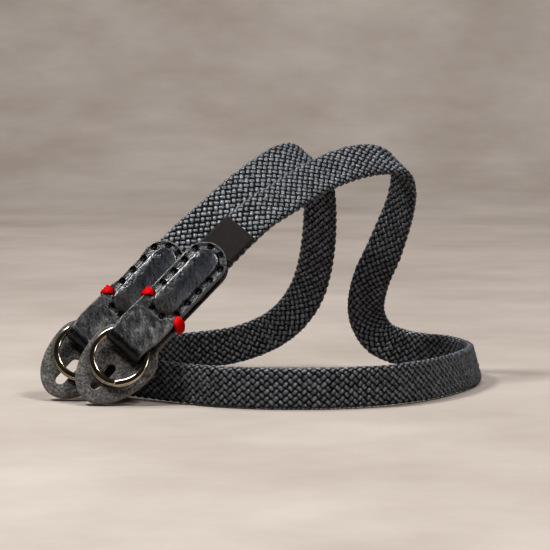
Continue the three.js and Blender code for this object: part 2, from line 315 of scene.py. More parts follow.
float_u = np.sign(float_grid[:, 0]) * np.abs(float_grid[:, 0]) ** END_CROWD
float_v = float_grid[:, 1]
float_along = float_u * FLOAT_LENGTH / 2
float_across = float_v * FLOAT_WIDTH / 2 * (1 - END_TAPER * np.abs(float_u) ** 3)
plies = 1 - PLY_DIP + PLY_DIP * np.abs(np.cos(float_v * PLIES * math.pi / 2))
float_high = (1 - float_u**2) * (1 - float_v**2) ** SIDE_ROUND * plies
float_uv = (float_grid + 1) / 2
print("float:", len(float_grid), "points,", sum(len(face) - 2 for face in float_faces), "triangles")

# %% Lay the floats round the rope
ROWS_ROUND = 13
CELL = 3.55 * MM
SLANT = math.radians(40)
FIRST_COLUMN, FIRST_ROW = 0.62, 0.25
WOBBLE = dict(angle=math.radians(2.5), size=0.04, high=0.06 * MM, place=0.06 * MM)
chance = np.random.default_rng(11)


def lay_yarn(name, slant, shift):
    """Copies the float over the whole rope, leaning one way, shifted by a part of a cell."""
    columns = int(ROPE_LENGTH / CELL) - 1
    cell_along, cell_round = ROPE_LENGTH / (columns + 1), GIRTH / ROWS_ROUND
    column, row = np.meshgrid(np.arange(columns), np.arange(ROWS_ROUND), indexing="ij")
    count = column.size
    at = (column.ravel() + FIRST_COLUMN + shift) * cell_along + chance.normal(0, WOBBLE["place"], count)
    turn = (row.ravel() + FIRST_ROW + shift) * cell_round + chance.normal(0, WOBBLE["place"], count)
    angle = slant + chance.normal(0, WOBBLE["angle"], count)
    size = 1 + chance.normal(0, WOBBLE["size"], count)
    crown = FLOAT_CROWN + chance.normal(0, WOBBLE["high"], count)
    reach, breadth = np.outer(size, float_along), np.outer(size, float_across)
    cos, sin = np.cos(angle)[:, None], np.sin(angle)[:, None]
    points = on_rope(
        at[:, None] + reach * cos - breadth * sin,
        turn[:, None] + reach * sin + breadth * cos,
        FLOAT_ROOT + np.outer(crown - FLOAT_ROOT, float_high),
    )
    faces = [[corner + copy * len(float_grid) for corner in face]
             for copy in range(count) for face in float_faces]
    yarn = mesh_piece(name, points.reshape(-1, 3), faces)
    corners = np.empty(len(yarn.data.loops), dtype=np.int32)
    yarn.data.loops.foreach_get("vertex_index", corners)
    yarn_map = yarn.data.uv_layers.new(name="along_yarn")
    yarn_map.uv.foreach_set("vector", float_uv[corners % len(float_grid)].astype(np.float32).ravel())
    shade = yarn.data.attributes.new("shade", "FLOAT", "POINT")
    shade.data.foreach_set("value", np.repeat(chance.random(count), len(float_grid)).astype(np.float32))
    top = yarn.data.attributes.new("top", "FLOAT", "POINT")
    top.data.foreach_set("value", np.tile(float_high, count).astype(np.float32))
    pick(yarn)
    bpy.ops.object.shade_smooth()
    print(name + ":", count, "floats,", triangles(yarn), "triangles")
    return yarn


yarns = [lay_yarn("rope_yarn_right", SLANT, 0.0), lay_yarn("rope_yarn_left", -SLANT, 0.5)]

# %% [markdown]
# ## The woven label
#
# A small woven patch lies on the rope's face just above the front leather. A flat plate would stand off where
# the rope bends, so a grid is laid on the rope's own surface, and Solidify makes it as thick as a folded
# ribbon.

# %% Label
LABEL_WIDTH, LABEL_THICKNESS = 14.4 * MM, 0.6 * MM
LABEL_SPAN = np.array((32.4, 46.4)) * MM
LABEL_LIFT = 0.25 * MM
LABEL_GRID = (28, 28)
HEM, HEM_RISE, HEM_WIDTH = 0.9 * MM, 0.12 * MM, 0.35 * MM
RIBBON_EDGE = 0.15 * MM

bpy.ops.object.select_all(action="DESELECT")
bpy.ops.mesh.primitive_grid_add(x_subdivisions=LABEL_GRID[0], y_subdivisions=LABEL_GRID[1], size=2)
label = bpy.context.object
label.name = "label_patch"
flat = np.array([vertex.co[:2] for vertex in label.data.vertices])
edge_in = (1 - np.abs(flat[:, 0])) * LABEL_WIDTH / 2
fold = LABEL_LIFT + HEM_RISE * np.exp(-((edge_in - HEM) / HEM_WIDTH) ** 2)
label_points = on_rope(
    LABEL_SPAN.mean() + flat[:, 1] * np.diff(LABEL_SPAN)[0] / 2,
    FLAT / 2 + flat[:, 0] * LABEL_WIDTH / 2,
    fold,
)
for vertex, point in zip(label.data.vertices, label_points):
    vertex.co = point
thick = label.modifiers.new("ribbon", "SOLIDIFY")
thick.thickness, thick.offset = LABEL_THICKNESS, 1.0
rounded = label.modifiers.new("soft edge", "BEVEL")
rounded.width, rounded.segments = RIBBON_EDGE, 2
pick(label)
for modifier in [m.name for m in label.modifiers]:
    bpy.ops.object.modifier_apply(modifier=modifier)
bpy.ops.object.shade_smooth_by_angle(angle=math.radians(40))
print("label:", triangles(label), "triangles")

# %% [markdown]
# ## The leather ends
#
# Each end is one strip of leather with round tips, folded in half round the ring and sewn over the rope. It
# could be built from a front, a back and a bend, but one grid bent like the real strip has no seams to hide.
# Its squares are first pressed into the strip's outline, then wrapped round the fold. Solidify doubles the
# sheet, and a formula then pads the middle, sinks the sewn line, opens the holes and rounds the cut edges.

# %% The strip's outline and fold
LEATHER = 1.8 * MM
TAB_HALF, FOLD_HALF = 8.9 * MM, 7.9 * MM
FOLD_BOTTOM, WIDE_FROM, TAB_TIP = 2.9 * MM, 14 * MM, 58.6 * MM
LOOP_HOLLOW, LOOP_TOP, ROPE_START = 1.9 * MM, 20 * MM, 24 * MM
ROPE_HOLLOW = 2.05 * MM
BEND = LOOP_HOLLOW + LEATHER / 2
BEND_AT = FOLD_BOTTOM + LEATHER + LOOP_HOLLOW
QUARTER = BEND * math.pi / 2
TIP_AT = QUARTER + TAB_TIP - TAB_HALF - BEND_AT
TAB_GRID = (64, 320)
# Hand cutting: how much the left edge stands out at heights above the ring hole.
LEFT_AT = np.array((4, 12, 20, 25, 29, 33, 45, 50)) * MM
LEFT_EDGE = {
    "front": np.array((0.6, 0.4, 0.1, 0.0, 0.0, 0.0, 0.0, 0.0)) * MM,
    "rear": np.array((1.0, 0.9, 0.6, 0.3, 0.2, -0.8, -0.8, 0.0)) * MM,
}


def smoothstep(low, high, value):
    """Zero at low, one at high, smooth between; low may be the larger one."""
    t = np.clip((value - low) / (high - low), 0, 1)
    return t * t * (3 - 2 * t)


def half_width(end, up, side):
    """From the middle line to the cut edge, on the left where side is below zero."""
    even = FOLD_HALF + (TAB_HALF - FOLD_HALF) * smoothstep(BEND_AT, WIDE_FROM, up)
    return even + np.where(side < 0, np.interp(up, LEFT_AT, LEFT_EDGE[end]), 0)


def strip_outline(end, u, v):
    """Presses a square of -1 to 1 into the flat strip: x across it, and length from the fold."""
    u = (u + np.sin(u * math.pi / 2)) / 2
    far = np.abs(v) * (TIP_AT + TAB_HALF)
    tip = np.clip((far - TIP_AT) / TAB_HALF, 0, 1)
    tip = (tip + np.sin(tip * math.pi / 2)) / 2
    length = np.minimum(far, TIP_AT) + TAB_HALF * tip * np.sqrt(1 - u * u / 2)
    up = BEND_AT + np.maximum(length - QUARTER, 0)
    return half_width(end, up, u) * u * np.sqrt(1 - tip * tip / 2), np.sign(v) * length


def fold_strip(x, length):
    """Wraps the flat strip round the fold: points on its middle layer, and the way out of the leather."""
    angle = np.clip(length / BEND, -math.pi / 2, math.pi / 2)
    up = BEND_AT - BEND * np.cos(angle) + np.maximum(np.abs(length) - QUARTER, 0)
    spread = BEND + (ROPE_HOLLOW - LOOP_HOLLOW) * smoothstep(LOOP_TOP, ROPE_START, up)
    middle = np.stack((x, up, spread * np.sin(angle)), axis=-1)
    return middle, np.stack((np.zeros_like(x), -np.cos(angle), np.sin(angle)), axis=-1)


print("leather strip, unfolded length, metres:", round(2 * (TIP_AT + TAB_HALF), 4))

# %% The sewn line and the leather's relief
SEAM_RADIUS = 6.6 * MM
SEAM_LOW, SEAM_HIGH = 28.7 * MM, 50.1 * MM
PAD_RADIUS, PAD_ASIDE = 5.4 * MM, 0.2 * MM
SIDE_HOLES = np.linspace(27.2, 52.0, 5) * MM
HOLES = np.vstack((
    [(-SEAM_RADIUS, up) for up in SIDE_HOLES],
    np.array(((-2.6, 56.2), (2.6, 56.2))) * MM,
    [(SEAM_RADIUS, up) for up in SIDE_HOLES[::-1]],
    np.array(((2.65, 22.9), (-2.65, 22.9))) * MM,
))
HOLE_RADIUS, HOLE_DEPTH = 1.15 * MM, 1.3 * MM
PILLOW, PILLOW_CROWN, FLANGE_DROP = 0.6 * MM, 0.5 * MM, 0.25 * MM
GROOVE, GROOVE_WIDTH = 0.16 * MM, 0.85 * MM
EDGE_ROUND, INNER_ROUND = 0.65 * MM, 0.35 * MM
LUMP, GRAIN, CREASE = 0.2 * MM, 0.06 * MM, 0.22 * MM
GROOVE_LUMPS = 0.5
LUMPS_IN_METRE = dict(groove=420, lump=190, grain=620, crease=420)
CREASE_COS, CREASE_SIN, CREASE_STRETCH = 0.79, 0.61, 0.3
# From where to where a step in the relief rises.
PAD_RISE, FLANGE_RISE = (0.3 * MM, -0.6 * MM), (-1.2 * MM, 0)
SEWN_RISE, CREASE_RISE = (ROPE_START - 6 * MM, ROPE_START), (26 * MM, 6 * MM)
HOLE_RISE = (0.8 * HOLE_RADIUS, 1.1 * HOLE_RADIUS)


def lumps(points, scale, seed):
    """Soft noise at points; scale is lumps in a metre."""
    shift = Vector((seed * 7.3, seed * 3.1, seed * 5.7))
    return np.array([noise.noise(Vector(point) * scale + shift) for point in points])


def seam_distance(x, up):
    """Distance outside the sewn line, which runs round the middle like a running track."""
    return np.hypot(x, up - np.clip(up, SEAM_LOW, SEAM_HIGH)) - SEAM_RADIUS


def pad_distance(x, up):
    """Distance outside the padded middle, which sits a little to the right of the sewn line's middle."""
    return np.hypot(x - PAD_ASIDE, up - np.clip(up, SEAM_LOW, SEAM_HIGH)) - PAD_RADIUS


def edge_distance(end, x, length, up):
    """Distance inside the strip's cut edge."""
    round_tip = TAB_HALF - np.hypot(x, np.abs(length) - TIP_AT)
    return np.where(np.abs(length) > TIP_AT, round_tip, half_width(end, up, x) - np.abs(x))


def edge_drop(inside, radius):
    """How far a rounded edge falls below the face, at a distance inside it."""
    gap = np.clip(radius - inside, 0, radius)
    return radius - np.sqrt(np.maximum(radius * radius - gap * gap, 0))


def hole_closeness(x, up):
    """One inside a hole, zero outside it."""
    near = np.min([np.hypot(x - hole[0], up - hole[1]) for hole in HOLES], axis=0)
    return 1 - smoothstep(*HOLE_RISE, near)


def tab_relief(x, length, up, seed):
    """How far the outside of the leather stands from its plain face."""
    seam, pad = seam_distance(x, up), pad_distance(x, up)
    front = smoothstep(0, QUARTER, length)
    padded = smoothstep(*PAD_RISE, pad) * PILLOW
    padded += PILLOW_CROWN * (1 - np.clip(1 + pad / PAD_RADIUS, 0, 1) ** 2) * (pad < 0)
    flange = -FLANGE_DROP * smoothstep(*SEWN_RISE, up) * smoothstep(*FLANGE_RISE, seam)
    flat = np.stack((x, length, 0 * x), axis=-1)
    uneven = 1 + GROOVE_LUMPS * lumps(flat, LUMPS_IN_METRE["groove"], seed)
    groove = -GROOVE * np.exp(-(seam / GROOVE_WIDTH) ** 2) * uneven
    rough = LUMP * lumps(flat, LUMPS_IN_METRE["lump"], seed + 1)
    rough += GRAIN * lumps(flat, LUMPS_IN_METRE["grain"], seed + 2)
    slanted = np.stack((
        CREASE_COS * x + CREASE_SIN * length,
        CREASE_STRETCH * (CREASE_COS * length - CREASE_SIN * x),
        0 * x,
    ), axis=-1)
    crease = CREASE * lumps(slanted, LUMPS_IN_METRE["crease"], seed + 3)
    crease *= smoothstep(*CREASE_RISE, np.abs(length) - QUARTER)
    return front * (padded + crease) + flange + groove + rough - HOLE_DEPTH * hole_closeness(x, up)


print("holes on each face:", len(HOLES))

# %% Make both ends
# From where to where each mark grows: wear, scuffs, and the painted sheen, glints, highlight and shade.
PAD_WEAR_AND_PAINTED_SHEEN, LOW_PAD_WEAR = (0.1 * MM, -0.7 * MM), (38 * MM, 25 * MM)
EDGE_WEAR_AND_PAINTED_HIGHLIGHT, UNDER_PAINTED_SHADE = (0.75 * MM, 0.2 * MM), (QUARTER, 0.4 * QUARTER)
LOOP_PAST_SEAM, LOOP_BELOW = (1.5 * MM, 3 * MM), (28 * MM, 23 * MM)
LOOP_ABOVE, LOOP_RIGHT = (5 * MM, 12 * MM), (-9 * MM, 3 * MM)


def leather_tab(end, seed):
    """One folded leather end, with the marks that its finish reads."""
    bpy.ops.object.select_all(action="DESELECT")
    bpy.ops.mesh.primitive_grid_add(x_subdivisions=TAB_GRID[0], y_subdivisions=TAB_GRID[1], size=2)
    tab = bpy.context.object
    tab.name = end + "_leather"
    mesh = tab.data
    square = np.array([vertex.co[:2] for vertex in mesh.vertices])
    x, length = strip_outline(end, square[:, 0], square[:, 1])
    middle, out = fold_strip(x, length)
    mesh.vertices.foreach_set("co", middle.astype(np.float32).ravel())
    count = len(middle)
    wall = tab.modifiers.new("leather", "SOLIDIFY")
    wall.thickness, wall.offset = LEATHER, 0.0
    bpy.ops.object.modifier_apply(modifier=wall.name)
    found = np.empty(len(mesh.vertices) * 3, dtype=np.float32)
    mesh.vertices.foreach_get("co", found)
    outside = np.sign(((found.reshape(2, count, 3) - middle) * out).sum(axis=-1))
    up = middle[:, 1]
    inside_edge = edge_distance(end, x, length, up)
    outer = LEATHER / 2 + tab_relief(x, length, up, seed) - edge_drop(inside_edge, EDGE_ROUND)
    inner = -LEATHER / 2 + edge_drop(inside_edge, INNER_ROUND)
    high = np.where(outside > 0, outer, inner)
    points = in_row(end, (middle + out * high[..., None]).reshape(-1, 3))
    mesh.vertices.foreach_set("co", points.astype(np.float32).ravel())
    seam = seam_distance(x, up)
    front = smoothstep(0, QUARTER, length)
    pillow = front * smoothstep(*PAD_WEAR_AND_PAINTED_SHEEN, pad_distance(x, up)) * (outside > 0)
    loop = front * smoothstep(*LOOP_PAST_SEAM, seam) * smoothstep(*LOOP_BELOW, up) * (outside > 0)
    marks = {
        "hole": hole_closeness(x, up) * (outside > 0),
        "groove": np.exp(-(seam / GROOVE_WIDTH) ** 2) * (outside > 0),
        "edge": smoothstep(*EDGE_WEAR_AND_PAINTED_HIGHLIGHT, inside_edge) * (outside > 0),
        "pillow": pillow,
        "low_pillow": pillow * smoothstep(*LOW_PAD_WEAR, up),
        "under": smoothstep(*UNDER_PAINTED_SHADE, np.abs(length)) * (outside > 0),
        "loop": loop * smoothstep(*LOOP_ABOVE, up) * smoothstep(*LOOP_RIGHT, x),
        "inside": (outside < 0) * 1.0,
    }
    for name, values in marks.items():
        mark = mesh.attributes.new(name, "FLOAT", "POINT")
        mark.data.foreach_set("value", np.broadcast_to(values, outside.shape).astype(np.float32).ravel())
    mesh.update()
    pick(tab)
    bpy.ops.object.shade_smooth_by_angle(angle=math.radians(60))
    print(tab.name + ":", triangles(tab), "triangles")
    return tab


tabs = {end: leather_tab(end, seed) for end, seed in (("front", 1), ("rear", 9))}

# %% [markdown]
# ## Black stitches and red whipping
#
# Black waxed thread runs from hole to hole, and a bundle of red thread binds each side of an end to the neck
# of its guard. Threads could be cylinders, but a curve with a round bevel follows any path. Many splines in
# one curve object make one piece, which is then converted to a mesh. The red strands lie in layers, from the
# leather's edge outwards, so that the bundle sits on what it binds.

# %% Threads
STITCH_RADIUS, RED_RADIUS = 0.45 * MM, 0.3 * MM
TAB_FACE = ROPE_HOLLOW + LEATHER
# Columns: part of the way from hole to hole, and depth under the leather's face in millimetres.
STITCH_ROWS = ((0.2, 1.7), (0.28, 0.9), (0.38, 0.6), (0.5, 0.52), (0.62, 0.6), (0.72, 0.9), (0.8, 1.7))


def threads(name, paths, radius):
    """One mesh of round threads, each along its own path."""
    curve = bpy.data.curves.new(name, "CURVE")
    curve.dimensions = "3D"
    curve.bevel_depth, curve.bevel_resolution = radius, 2
    curve.use_fill_caps = True
    curve.resolution_u = 4
    for path in paths:
        spline = curve.splines.new("NURBS")
        spline.points.add(len(path) - 1)
        spline.points.foreach_set("co", np.hstack((path, np.ones((len(path), 1)))).ravel())
        spline.use_endpoint_u = True
        spline.order_u = 3
    piece = bpy.data.objects.new(name, curve)
    bpy.context.collection.objects.link(piece)
    pick(piece)
    bpy.ops.object.convert(target="MESH")
    piece = bpy.context.object
    bpy.ops.object.shade_smooth()
    print(name + ":", len(paths), "threads,", triangles(piece), "triangles")
    return piece


def stitch_paths(end):
    """From hole to hole round the sewn line, on the front and on the back."""
    paths = []
    for side in (1, -1):
        for hole, following in zip(HOLES, np.roll(HOLES, -1, axis=0)):
            paths.append(in_row(end, [
                (*(hole + (following - hole) * part), side * (TAB_FACE - sunk * MM))
                for part, sunk in STITCH_ROWS
            ]))
    return paths


stitches = {end: threads(end + "_stitches", stitch_paths(end), STITCH_RADIUS) for end in ENDS}

# %% Red whipping
WHIP_STRANDS, WHIP_HEAP = 6, 0.14 * MM
WHIP_SLIP, WHIP_ASIDE = {-1: 0.1 * MM, 1: -1.4 * MM}, {-1: 0.0, 1: 0.7 * MM}
WHIP_LAYERS, WHIP_LAYER = {-1: 3, 1: 4}, 0.5 * MM
WHIP_ON_FACE, WHIP_PAST_EDGE = 7.5 * MM, 9.0 * MM
# Columns, in millimetres: aside from the middle, along the leather, out of it, and the strands' fan.
WHIP_ROWS = np.array((
    (6.2, 27.3, 2.4, 0.4),
    (6.7, 27.3, 3.8, 0.7),
    (7.8, 27.0, 4.2, 1.1),
    (9.1, 26.6, 4.1, 1.5),
    (10.0, 26.3, 2.9, 1.75),
    (10.1, 26.1, 0.0, 1.7),
    (9.9, 26.1, -3.5, 1.3),
    (9.5, 26.1, -6.2, 0.9),
    (8.2, 26.1, -6.75, 0.6),
    (6.9, 26.1, -6.6, 0.4),
    (6.3, 26.1, -5.6, 0.3),
)) * MM


def whip_paths(end):
    """Strands that leave one hole together, fan out over the edge, and meet again behind the guard's neck."""
    aside, along, out, fan = WHIP_ROWS.T
    paths = []
    for side in (-1, 1):
        for layer in range(WHIP_LAYERS[side]):
            tuck = layer * WHIP_LAYER * smoothstep(WHIP_ON_FACE, WHIP_PAST_EDGE, aside)
            for strand, part in enumerate(np.linspace(-1, 1, WHIP_STRANDS)):
                heap = WHIP_HEAP * ((strand + layer) % 2)
                paths.append(in_row(end, np.column_stack((
                    side * (aside + heap + WHIP_ASIDE[side] - tuck),
                    along + WHIP_SLIP[side] + fan * part,
                    out + heap,
                ))))
    return paths


whippings = {end: threads(end + "_whipping", whip_paths(end), RED_RADIUS) for end in ENDS}

# %% [markdown]
# ## The split rings
#
# A split ring is two turns of flattened wire. A torus would miss the step where one turn ends, so the wire's
# section is swept by the Screw modifier. The coil is first pulled long, like a spring, so that the turns can
# be told apart, and then every point is pressed down to its own layer, with a short ramp between the two.

# %% Rings
RING_OUTER, WIRE, TURN_THICKNESS = 11.8 * MM, 2.25 * MM, 1.06 * MM
RING_HEIGHT = 2.2 * MM
RING_ASIDE, RING_BACK, RING_TILT = 0.3 * MM, 0.8 * MM, math.radians(6)
WIRE_BEVEL, WELD = 0.48 * MM, 0.001 * MM
SPRING, RAMP = 0.2, 0.07
TURNS, TURN_STEPS = 2, 96
BACK_TURN_DROP = 0.5 * MM
WIRE_ENDS = {"front": math.radians(-58), "rear": math.radians(150)}


def split_ring(end):
    """Two turns of wire, the front one a little above the back one."""
    middle = RING_OUTER - WIRE / 2
    bpy.ops.object.select_all(action="DESELECT")
    bpy.ops.mesh.primitive_plane_add(size=1, rotation=(math.pi / 2, 0, 0))
    ring = bpy.context.object
    ring.name = end + "_split_ring"
    bpy.ops.object.transform_apply(rotation=True)
    bpy.ops.object.mode_set(mode="EDIT")
    bpy.ops.mesh.select_all(action="SELECT")
    bpy.ops.transform.resize(value=(WIRE, 1, TURN_THICKNESS))
    bpy.ops.transform.translate(value=(middle, 0, 0))
    bpy.ops.mesh.bevel(offset=WIRE_BEVEL, segments=5, affect="VERTICES")
    bpy.ops.mesh.delete(type="ONLY_FACE")
    bpy.ops.object.mode_set(mode="OBJECT")
    coil = ring.modifiers.new("coil", "SCREW")
    coil.angle, coil.screw_offset = 2 * math.pi * TURNS, SPRING
    coil.steps = coil.render_steps = TURNS * TURN_STEPS
    coil.use_normal_calculate = True
    bpy.ops.object.modifier_apply(modifier=coil.name)
    bpy.ops.object.mode_set(mode="EDIT")
    bpy.ops.mesh.select_all(action="SELECT")
    bpy.ops.mesh.remove_doubles(threshold=WELD)
    bpy.ops.mesh.fill_holes(sides=0)
    bpy.ops.mesh.normals_make_consistent(inside=False)
    bpy.ops.object.mode_set(mode="OBJECT")
    points = np.array([vertex.co for vertex in ring.data.vertices])
    angle = np.mod(np.arctan2(points[:, 1], points[:, 0]), 2 * math.pi) / (2 * math.pi)
    whole = np.round(points[:, 2] / SPRING * TURNS - angle)
    wound = angle + whole
    within = points[:, 2] - wound / TURNS * SPRING
    turned = smoothstep(1 - RAMP, 1 + RAMP, wound)
    layer = (turned - 0.5) * (RING_HEIGHT - TURN_THICKNESS)
    start = WIRE_ENDS[end] + wound * 2 * math.pi
    radius = np.hypot(points[:, 0], points[:, 1])
    slipped = (1 - turned) * BACK_TURN_DROP
    flat = np.stack((radius * np.cos(start), radius * np.sin(start) - slipped, within + layer), axis=-1)
    tilt = np.array(((1, 0, 0), (0, math.cos(RING_TILT), math.sin(RING_TILT)),
                     (0, -math.sin(RING_TILT), math.cos(RING_TILT))))
    place = (RING_ASIDE, ENDS[end]["ring_rise"] * MM, -RING_BACK)
    placed = in_row(end, flat @ tilt + place)
    ring.data.vertices.foreach_set("co", placed.astype(np.float32).ravel())
    ring.data.update()
    pick(ring)
    bpy.ops.object.shade_smooth_by_angle(angle=math.radians(50))
    print(ring.name + ":", triangles(ring), "triangles")
    return ring


rings = {end: split_ring(end) for end in ENDS}

# %% [markdown]
# ## The guards
#
# The guards are flat leather with the nap showing: a wide round foot with a slot, and a neck that goes up
# behind the strip to the red thread. A Boolean could cut the slot from a plate, but an outline drawn as edges
# keeps the mesh clean. It is filled, extruded to the leather's thickness and bevelled, as a cut piece of
# leather is eased with a small edge tool.

# %% Guards
GUARD_HALF, GUARD_WIDEST, GUARD_TOE = 14.2 * MM, 3 * MM, 19.8 * MM
NECK_HALF, NECK_BASE, NECK_TOP, NECK_CORNER = 8.7 * MM, 14 * MM, 29 * MM, 3 * MM
SLOT_HALF, SLOT_TOP, SLOT_BOTTOM = 2.1 * MM, -2.3 * MM, -14.9 * MM
GUARD_FRONT, GUARD_THICKNESS = -4.15 * MM, 2.0 * MM
FLANK_PULL = np.array(((14.2, 9.0), (9.7, 10.5))) * MM
GUARD_BEVEL, CUT_EDGE = 0.4 * MM, 0.12 * MM
GUARD_ROWS = np.arange(-18, 29, 3) * MM


def arc(centre, radius, start, stop, steps):
    """Points on a part of an ellipse, between two angles in degrees."""
    angles = np.radians(np.linspace(start, stop, steps))
    return np.stack((centre[0] + radius[0] * np.cos(angles), centre[1] + radius[1] * np.sin(angles)), axis=-1)


def guard_outline():
    """Half of the outline from the toe up to the neck, then its mirror image."""
    foot = arc((0, GUARD_WIDEST), (GUARD_HALF, GUARD_WIDEST + GUARD_TOE), -90, 0, 24)
    t = np.linspace(0, 1, 11)[1:-1, None]
    low, high = np.array((GUARD_HALF, GUARD_WIDEST)), np.array((NECK_HALF, NECK_BASE))
    flank = ((1 - t) ** 3 * low + 3 * (1 - t) ** 2 * t * FLANK_PULL[0]
             + 3 * (1 - t) * t**2 * FLANK_PULL[1] + t**3 * high)
    corner = arc((NECK_HALF - NECK_CORNER, NECK_TOP - NECK_CORNER), (NECK_CORNER, NECK_CORNER), 0, 90, 7)
    half = np.vstack((foot, flank, high, corner))
    return np.vstack((half, half[:0:-1] * (-1, 1)))


def slot_outline():
    """A half circle at each end of the slot, joined by straight sides."""
    size = (SLOT_HALF, SLOT_HALF)
    return np.vstack((arc((0, SLOT_TOP - SLOT_HALF), size, 0, 180, 10),
                      arc((0, SLOT_BOTTOM + SLOT_HALF), size, 180, 360, 10)))


def leather_guard(end):
    """One flat guard with its slot, and a mark on its cut edge."""
    outer, slot = guard_outline(), slot_outline()
    drawn = np.vstack((outer, slot))
    loops = [(first, (first + 1) % len(outer)) for first in range(len(outer))]
    loops += [(len(outer) + first, len(outer) + (first + 1) % len(slot)) for first in range(len(slot))]
    guard = mesh_piece(end + "_napped_guard", np.column_stack((drawn, np.full(len(drawn), GUARD_FRONT))), [])
    guard.data.edges.add(len(loops))
    guard.data.edges.foreach_set("vertices", np.array(loops, dtype=np.int32).ravel())
    pick(guard)
    bpy.ops.object.mode_set(mode="EDIT")
    bpy.ops.mesh.select_all(action="SELECT")
    bpy.ops.mesh.fill(use_beauty=True)
    bpy.ops.mesh.select_all(action="SELECT")
    bpy.ops.mesh.extrude_region_move(TRANSFORM_OT_translate={"value": (0, 0, -GUARD_THICKNESS)})
    bpy.ops.mesh.select_all(action="SELECT")
    bpy.ops.mesh.normals_make_consistent(inside=False)
    bpy.ops.mesh.select_all(action="DESELECT")
    bpy.ops.mesh.select_mode(type="EDGE")
    bpy.ops.mesh.edges_select_sharp(sharpness=math.radians(70))
    bpy.ops.mesh.bevel(offset=GUARD_BEVEL, segments=3, affect="EDGES")
    for up in GUARD_ROWS:
        bpy.ops.mesh.select_all(action="SELECT")
        bpy.ops.mesh.bisect(plane_co=(0, up, 0), plane_no=(0, 1, 0))
    bpy.ops.object.mode_set(mode="OBJECT")
    points = np.array([vertex.co for vertex in guard.data.vertices])
    depth = np.minimum(GUARD_FRONT - points[:, 2], points[:, 2] - GUARD_FRONT + GUARD_THICKNESS)
    cut = guard.data.attributes.new("cut", "FLOAT", "POINT")
    cut.data.foreach_set("value", smoothstep(0, CUT_EDGE, depth).astype(np.float32))
    points[:, 1] += ENDS[end]["guard_rise"] * MM
    guard.data.vertices.foreach_set("co", in_row(end, points).astype(np.float32).ravel())
    guard.data.update()
    pick(guard)
    bpy.ops.object.shade_smooth_by_angle(angle=math.radians(35))
    print(guard.name + ":", triangles(guard), "triangles")
    return guard


guards = {end: leather_guard(end) for end in ENDS}

# %% [markdown]
# ## Finishes
#
# Every finish is a small set of nodes on the Principled shader. Patterns read Object coordinates, because
# every piece sits at the origin and so the pattern stays put, or a map or mark that the modelling left on the
# mesh. The nodes could be added one by one; a small class with a short name for each keeps a finish readable.

# %% Helpers for the finishes


class Finish:
    """A material with its Principled shader, and short ways to add and join nodes."""

    def __init__(self, name, **constants):
        self.material = bpy.data.materials.new(name)
        self.material.use_nodes = True
        self.tree = self.material.node_tree
        self.shader = self.tree.nodes["Principled BSDF"]
        for socket, value in constants.items():
            self.shader.inputs[socket.replace("_", " ")].default_value = value

    def add(self, kind, inputs=None, **settings):
        made = self.tree.nodes.new("ShaderNode" + kind)
        for key, value in settings.items():
            setattr(made, key, value)
        for socket, value in (inputs or {}).items():
            if isinstance(value, bpy.types.NodeSocket):
                self.tree.links.new(value, made.inputs[socket])
            else:
                made.inputs[socket].default_value = value
        return made

    def use(self, socket, value):
        self.tree.links.new(value, self.shader.inputs[socket])

    def mark(self, name):
        return self.add("Attribute", attribute_name=name).outputs["Fac"]

    def place(self, stretch=(1, 1, 1), source="Object"):
        where = self.add("TexCoord").outputs[source]
        return self.add("Mapping", {"Vector": where, "Scale": stretch}).outputs["Vector"]

    def drawn_out(self, where, angle, times):
        """Coordinates in which a pattern is so many times longer in one direction."""
        return self.add("Mapping", {"Vector": where, "Rotation": (0, 0, angle), "Scale": (times, 1, 1)},
                        vector_type="TEXTURE").outputs["Vector"]

    def noise(self, where, scale, detail=3.0, rough=0.55):
        return self.add("TexNoise", {"Vector": where, "Scale": scale, "Detail": detail,
                                     "Roughness": rough}).outputs["Fac"]

    def math(self, operation, first, second):
        return self.add("Math", {0: first, 1: second}, operation=operation).outputs[0]

    def range(self, value, low, high, to_low=0.0, to_high=1.0):
        return self.add("MapRange", {"Value": value, "From Min": low, "From Max": high,
                                     "To Min": to_low, "To Max": to_high}).outputs[0]

    def mix(self, part, first, second):
        mixed = self.add("Mix", data_type="RGBA")
        for socket, value in ((0, part), (6, first), (7, second)):
            if isinstance(value, bpy.types.NodeSocket):
                self.tree.links.new(value, mixed.inputs[socket])
            else:
                mixed.inputs[socket].default_value = value
        return mixed.outputs[2]

    def bump(self, height, strength, distance):
        bumped = self.add("Bump", {"Height": height, "Strength": strength, "Distance": distance})
        self.use("Normal", bumped.outputs["Normal"])


def tint(red, green, blue):
    return (red, green, blue, 1.0)


def dress(piece, finish, slot, *nodes):
    """Gives a piece its finish and its body, and lets it stand for CAD nodes. The slot is not used."""
    piece.data.materials.clear()
    piece.data.materials.append(finish.material)
    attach(piece, "root")
    if nodes:
        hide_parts(*nodes)


print("helpers ready")

# %% [markdown]
# ### Braid
#
# The yarn is charcoal and satin, with fine fibres along it, and the gaps between yarns go nearly black. A
# picture of cloth could be wrapped round the rope, but the floats are real, so noise drawn out along each
# float's own map gives its fibres, and the height left on the mesh paints shade, nearly black, on its sunken
# sides.

# %% Braid finish
core_finish = Finish("dark rope core", Roughness=0.9)
core_speck = core_finish.noise(core_finish.place(), 2500)
core_tone = core_finish.mix(core_speck, tint(0.003, 0.003, 0.003), tint(0.012, 0.012, 0.013))
core_finish.use("Base Color", core_tone)

